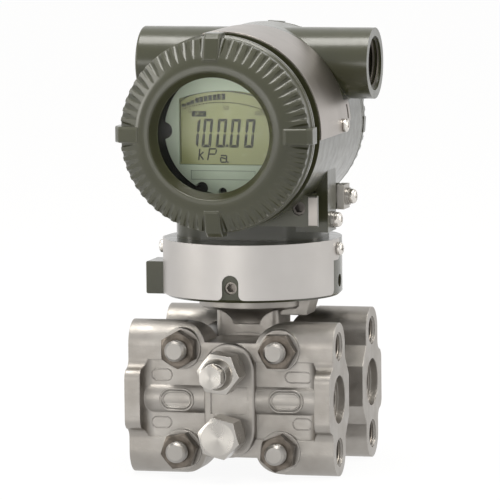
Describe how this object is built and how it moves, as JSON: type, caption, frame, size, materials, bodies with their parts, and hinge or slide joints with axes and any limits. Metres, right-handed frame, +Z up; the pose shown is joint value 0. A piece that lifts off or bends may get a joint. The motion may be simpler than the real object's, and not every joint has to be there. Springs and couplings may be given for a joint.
{
  "type": "differential pressure transmitter",
  "caption": "Field-mounted differential pressure transmitter: measuring capsule clamped between cast process flanges, under a two-chamber housing with indicator and screwed covers.",
  "frame": {"origin": "where the vertical neck axis meets the plane under the two process flanges", "axes": "+X to the right seen from the indicator side, the indicator faces -Y, +Z up"},
  "size_m": [0.094, 0.1334, 0.1742],
  "materials": {
    "paint": "semi-gloss moss green enamel over cast aluminium",
    "cast_steel": "satin blasted stainless casting",
    "turned_steel": "turned bright stainless",
    "plate_steel": "fine satin stainless sheet",
    "bolt_steel": "dark oiled alloy steel",
    "stud_steel": "bright zinc plated steel",
    "rubber": "black moulded seal",
    "glass": "clear tempered glass",
    "bezel": "pale mint matte moulding",
    "display": "olive reflective display glass",
    "board": "green circuit board",
    "terminal": "dark moulded phenolic"
  },
  "bodies": {
    "sensor": {"capsule_body": "cast_steel", "flange_bolts": "stud_steel", "flange_nuts": "bolt_steel", "high_side_diaphragm": "turned_steel", "high_side_drain_plug": "turned_steel", "high_side_flange": "cast_steel", "high_side_gasket": "rubber", "high_side_vent_plug": "turned_steel", "low_side_diaphragm": "turned_steel", "low_side_drain_plug": "turned_steel", "low_side_flange": "cast_steel", "low_side_gasket": "rubber", "low_side_vent_plug": "turned_steel", "neck_seal": "rubber", "sensor_header": "turned_steel", "sensor_pins": "turned_steel"},
    "housing": {"adjuster_plate": "plate_steel", "amplifier_board": "board", "amplifier_frame": "turned_steel", "amplifier_module": "terminal", "cheek_screw": "turned_steel", "cheek_washer": "turned_steel", "data_plate": "plate_steel", "data_plate_screw": "plate_steel", "drum_nameplate": "plate_steel", "drum_plate_screws": "turned_steel", "earth_clamp": "turned_steel", "earth_screw": "turned_steel", "earth_washer": "turned_steel", "housing": "paint", "indicator_bezel": "bezel", "indicator_board": "board", "indicator_carrier": "terminal", "inner_earth_screw": "turned_steel", "lcd_panel": "display", "neck_set_screws": "turned_steel", "terminal_block": "terminal", "terminal_clamps": "turned_steel", "terminal_screws": "turned_steel"},
    "front_cover_travel": {"front_cover_seal": "rubber"},
    "front_cover": {"front_cover": "paint", "window_glass": "glass", "window_gasket": "rubber", "window_retainer": "turned_steel"},
    "rear_cover_travel": {"rear_cover_seal": "rubber"},
    "rear_cover": {"rear_cover": "paint"},
    "zero_adjuster": {"zero_adjust_screw": "turned_steel"},
    "high_vent": {"high_side_vent_screw": "turned_steel"},
    "low_vent": {"low_side_vent_screw": "turned_steel"}
  },
  "joints": [
    {"name": "housing_swivel", "type": "hinge", "parent": "sensor", "child": "housing", "pos_m": [0, 0, 0.072], "axis": [0, 0, 1], "range_deg": [-180, 180]},
    {"name": "front_cover_unscrew", "type": "slide", "parent": "housing", "child": "front_cover_travel", "axis": [0, -1, 0], "range_m": [0, 0.009]},
    {"name": "front_cover_turn", "type": "hinge", "parent": "front_cover_travel", "child": "front_cover", "pos_m": [0, -0.055, 0.135], "axis": [0, -1, 0], "range_deg": [0, 2160]},
    {"name": "rear_cover_unscrew", "type": "slide", "parent": "housing", "child": "rear_cover_travel", "axis": [0, 1, 0], "range_m": [0, 0.009]},
    {"name": "rear_cover_turn", "type": "hinge", "parent": "rear_cover_travel", "child": "rear_cover", "pos_m": [0, 0.03, 0.135], "axis": [0, 1, 0], "range_deg": [0, 2160]},
    {"name": "zero_adjust_turn", "type": "hinge", "parent": "housing", "child": "zero_adjuster", "pos_m": [0.0264, -0.0265, 0.1046], "axis": [0, -1, 0], "continuous": true},
    {"name": "high_vent_turn", "type": "hinge", "parent": "sensor", "child": "high_vent", "pos_m": [0, -0.055, 0.04245], "axis": [0, -1, 0], "range_deg": [0, 720]},
    {"name": "low_vent_turn", "type": "hinge", "parent": "sensor", "child": "low_vent", "pos_m": [0, 0.055, 0.04245], "axis": [0, 1, 0], "range_deg": [0, 720]}
  ],
  "couplings": [
    {"joint": "front_cover_unscrew", "follows": "front_cover_turn", "m_per_rad": 0.00023873},
    {"joint": "rear_cover_unscrew", "follows": "rear_cover_turn", "m_per_rad": 0.00023873}
  ]
}
